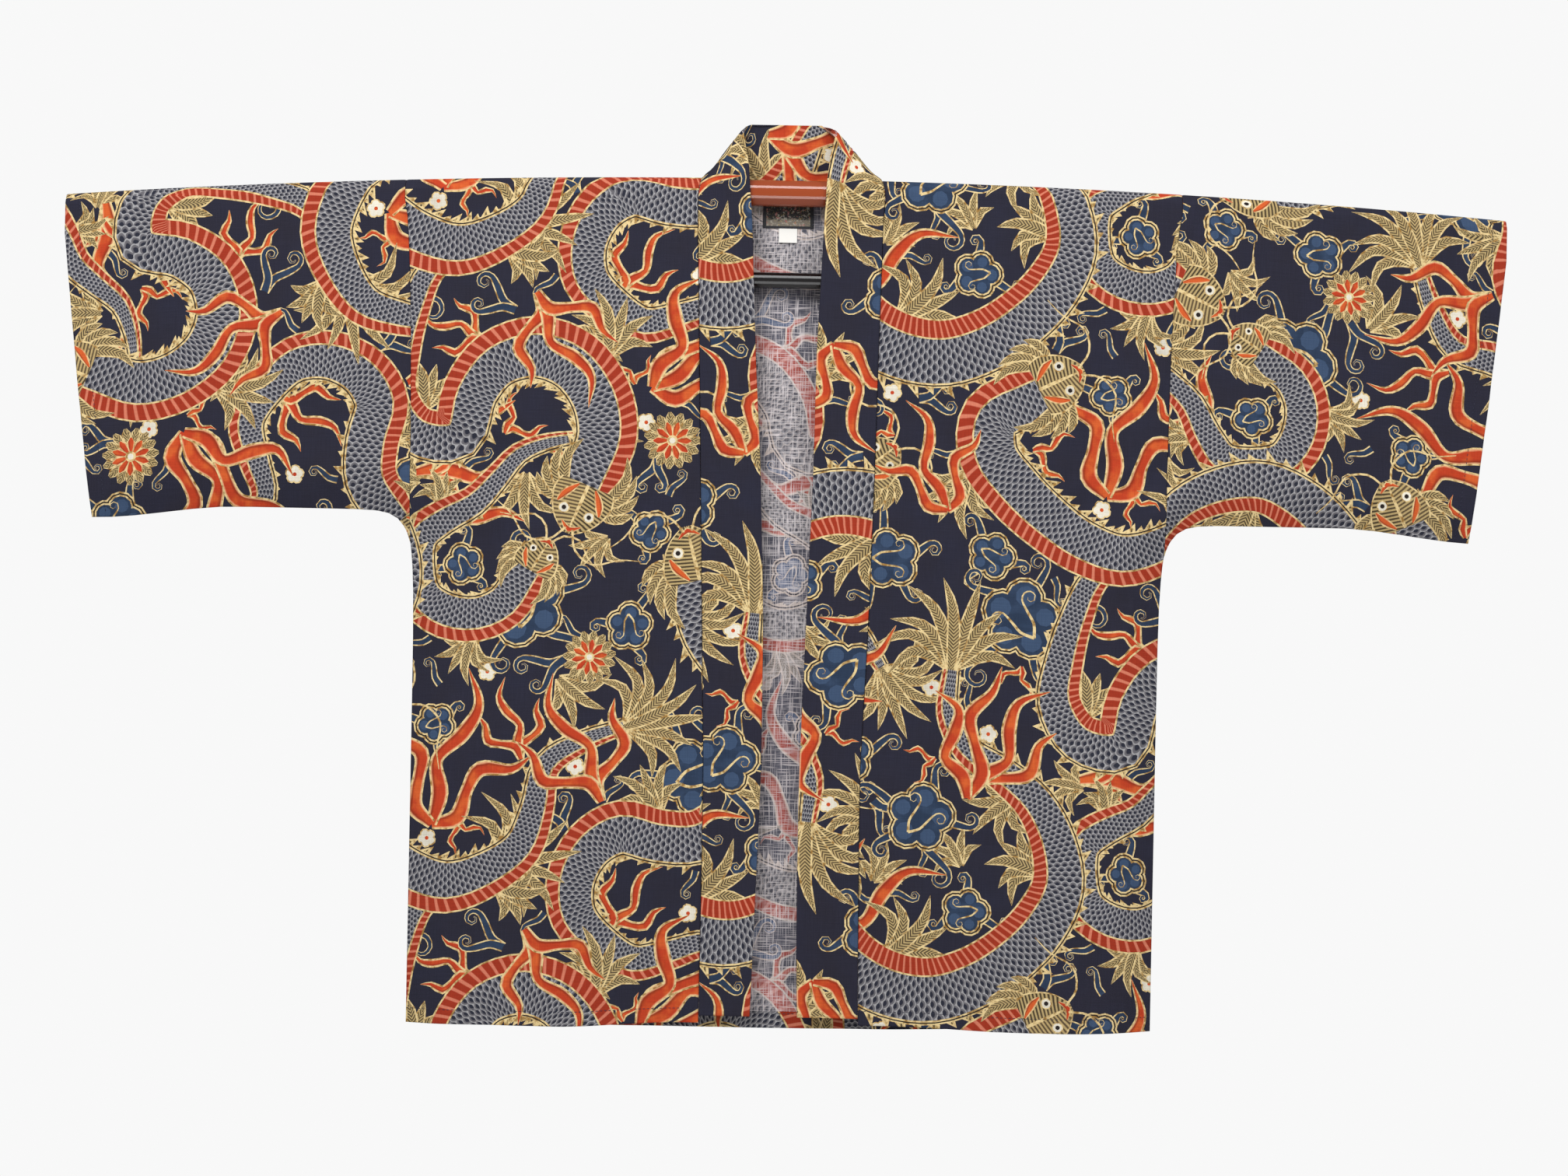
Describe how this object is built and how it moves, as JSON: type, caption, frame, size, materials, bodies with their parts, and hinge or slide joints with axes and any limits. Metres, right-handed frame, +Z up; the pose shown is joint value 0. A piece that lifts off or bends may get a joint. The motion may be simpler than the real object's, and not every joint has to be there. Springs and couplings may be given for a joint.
{
  "type": "happi coat on a kimono rod hanger",
  "caption": "Open-fronted cotton happi coat with wide square sleeves and a standing band collar, hung flat and level on an octagonal rod with a thinner bar below it.",
  "frame": {"origin": "the middle of the rod, where the hanger is held", "axes": "+Z up, the coat's front faces -Y, +X is the wearer's left"},
  "size_m": [1.359, 0.0331, 0.8571],
  "materials": {
    "slub_cotton": "matt printed slub cotton, navy ground, paler on the inside",
    "woven_label": "dark woven label, bare",
    "white_tape": "white printed-tape ground, bare",
    "brown_plastic": "glossy moulded",
    "black_plastic": "glossy moulded"
  },
  "bodies": {
    "root": {"back": "slub_cotton", "front_left": "slub_cotton", "front_right": "slub_cotton", "sleeve_left": "slub_cotton", "sleeve_right": "slub_cotton", "collar": "slub_cotton", "neck_label": "woven_label", "size_tag": "white_tape", "rod": "brown_plastic", "lower_bar": "black_plastic", "link_left": "black_plastic", "link_right": "black_plastic"}
  },
  "joints": []
}
